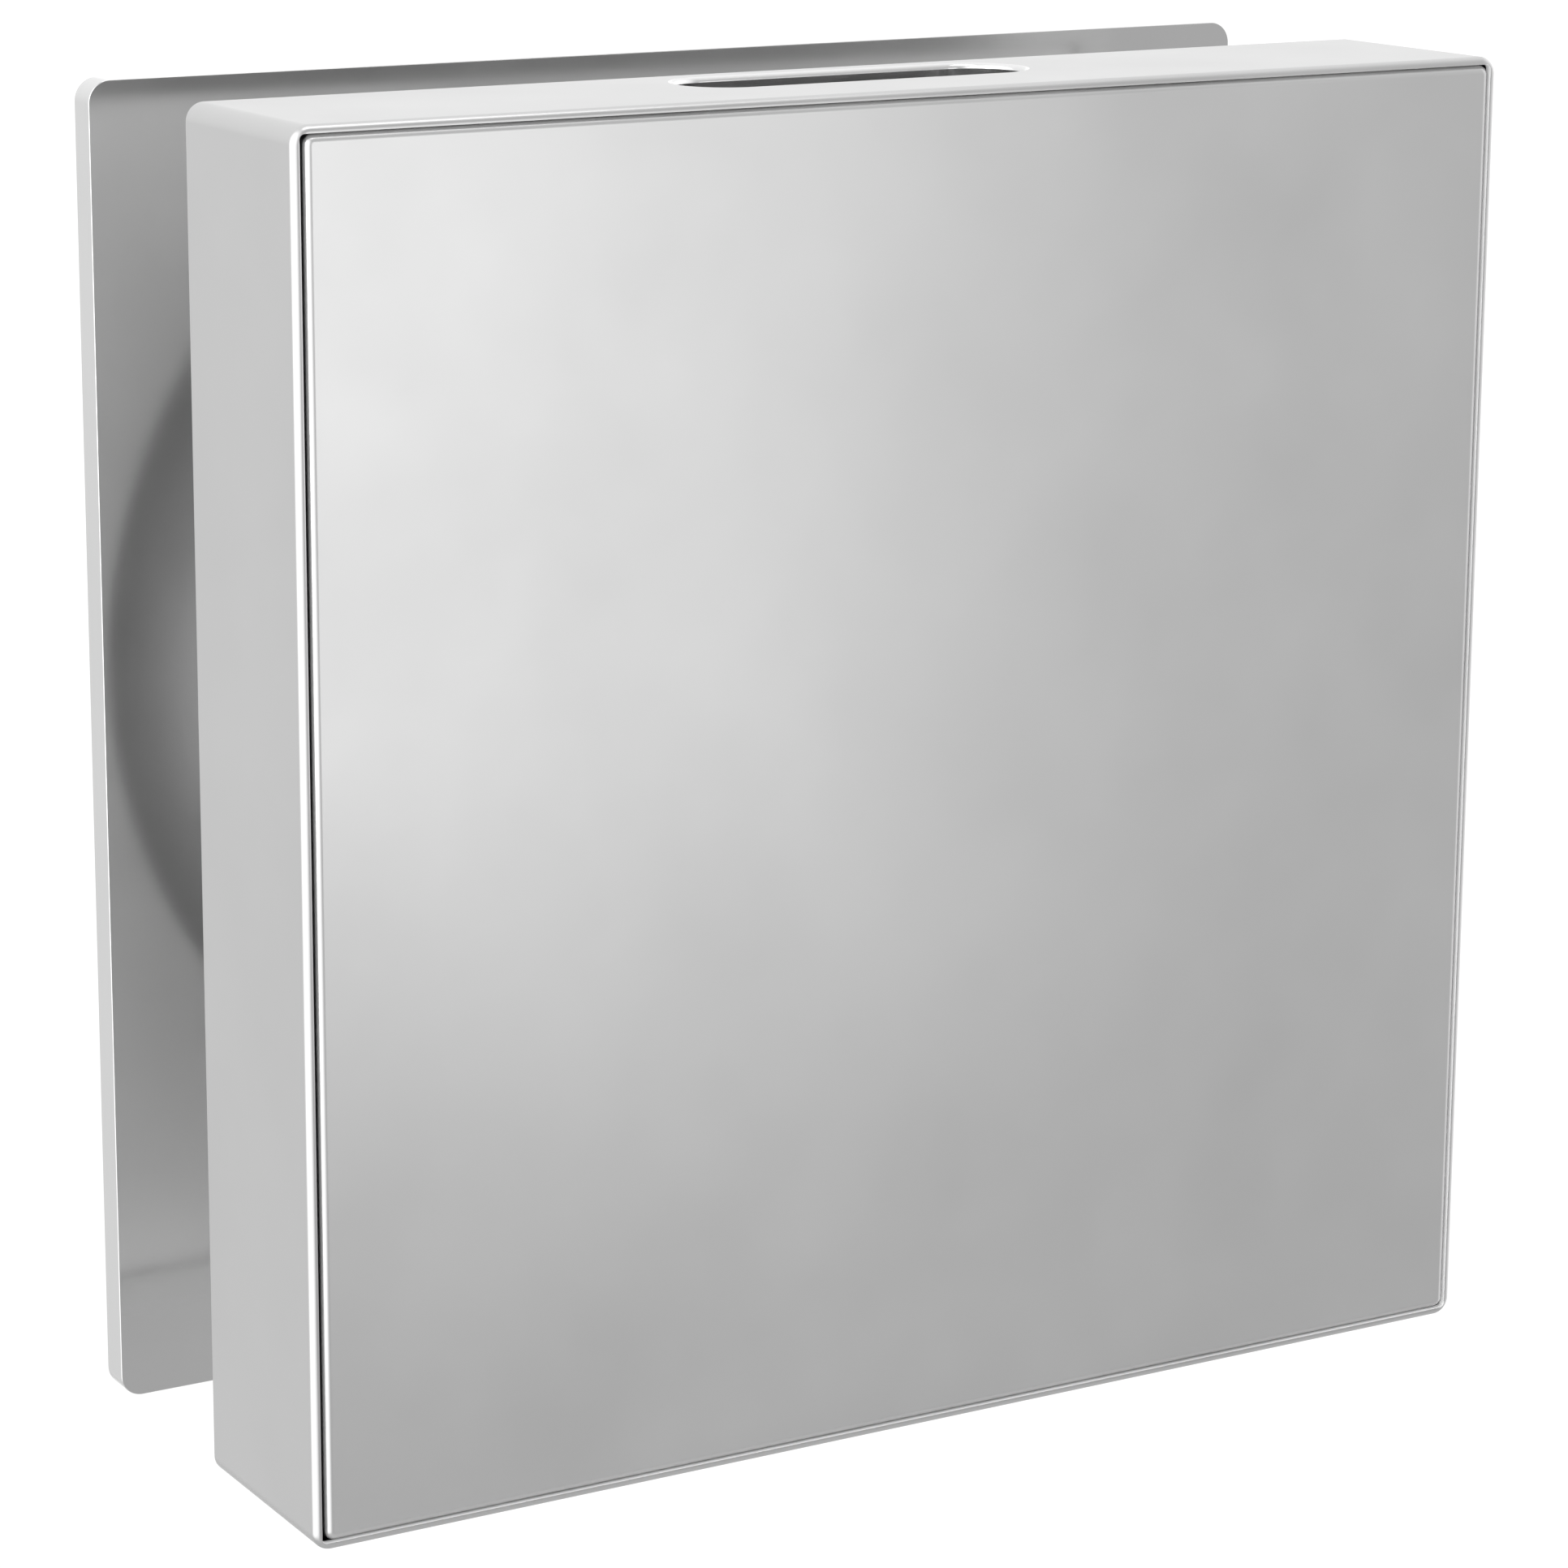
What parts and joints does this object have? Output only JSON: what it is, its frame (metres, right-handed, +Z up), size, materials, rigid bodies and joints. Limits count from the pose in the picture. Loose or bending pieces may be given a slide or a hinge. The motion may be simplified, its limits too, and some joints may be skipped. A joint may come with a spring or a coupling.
{
  "type": "medicine cabinet",
  "caption": "Square stainless wall cabinet with a polished, handleless door and a slot in its top, held off a square wall plate by a round drum.",
  "frame": {"origin": "centre of the wall plate's back face, on the wall", "axes": "+Z up, +Y into the wall, -Y to the front, +X to the right as seen from the front"},
  "size_m": [0.5, 0.185, 0.5],
  "materials": {
    "satin_steel": "satin stainless sheet",
    "polished_steel": "finely polished stainless sheet",
    "zinc_steel": "bright zinc plate",
    "mirror_glass": "silvered glass",
    "shelf_glass": "clear toughened glass",
    "board": "compressed fibreboard",
    "core_board": "rigid foam board",
    "nylon": "moulded nylon",
    "silicone": "soft clear silicone",
    "rubber": "black gasket rubber"
  },
  "bodies": {
    "cabinet": {"wall_plate_skin": "polished_steel", "wall_plate_board": "board", "standoff_drum": "satin_steel", "cabinet_shell": "satin_steel", "cabinet_back": "satin_steel", "tissue_shelf": "satin_steel", "glass_shelf_upper": "shelf_glass", "glass_shelf_lower": "shelf_glass", "door_stop_angle": "zinc_steel", "upper_bumper": "silicone", "lower_bumper": "silicone", "latch_housing": "nylon", "wall_plate_screw_1": "zinc_steel", "cabinet_screw_1": "zinc_steel", "cabinet_nut_1": "zinc_steel", "upper_shelf_stud_1": "zinc_steel", "lower_shelf_stud_1": "zinc_steel", "wall_plate_screw_2": "zinc_steel", "cabinet_screw_2": "zinc_steel", "cabinet_nut_2": "zinc_steel", "upper_shelf_stud_2": "zinc_steel", "lower_shelf_stud_2": "zinc_steel", "wall_plate_screw_3": "zinc_steel", "cabinet_screw_3": "zinc_steel", "cabinet_nut_3": "zinc_steel", "upper_shelf_stud_3": "zinc_steel", "lower_shelf_stud_3": "zinc_steel", "wall_plate_screw_4": "zinc_steel", "cabinet_screw_4": "zinc_steel", "cabinet_nut_4": "zinc_steel", "upper_shelf_stud_4": "zinc_steel", "lower_shelf_stud_4": "zinc_steel", "latch_screw_1": "zinc_steel", "latch_screw_2": "zinc_steel", "upper_hinge_bracket": "zinc_steel", "upper_hinge_pin": "zinc_steel", "lower_hinge_bracket": "zinc_steel", "lower_hinge_pin": "zinc_steel"},
    "door": {"door_skin": "polished_steel", "door_core": "core_board", "inner_mirror": "mirror_glass", "mirror_gasket": "rubber", "strike_plate": "zinc_steel", "upper_hinge_bush": "nylon", "lower_hinge_bush": "nylon"},
    "latch_plunger": {"latch_plunger": "nylon"}
  },
  "joints": [
    {"name": "door_hinge", "type": "hinge", "parent": "cabinet", "child": "door", "pos_m": [0.2327, -0.178, 0], "axis": [0, 0, 1], "range_deg": [0, 110]},
    {"name": "latch_push", "type": "slide", "parent": "cabinet", "child": "latch_plunger", "axis": [0, 1, 0], "range_m": [0, 0.003], "stiffness_N_per_m": 200}
  ]
}
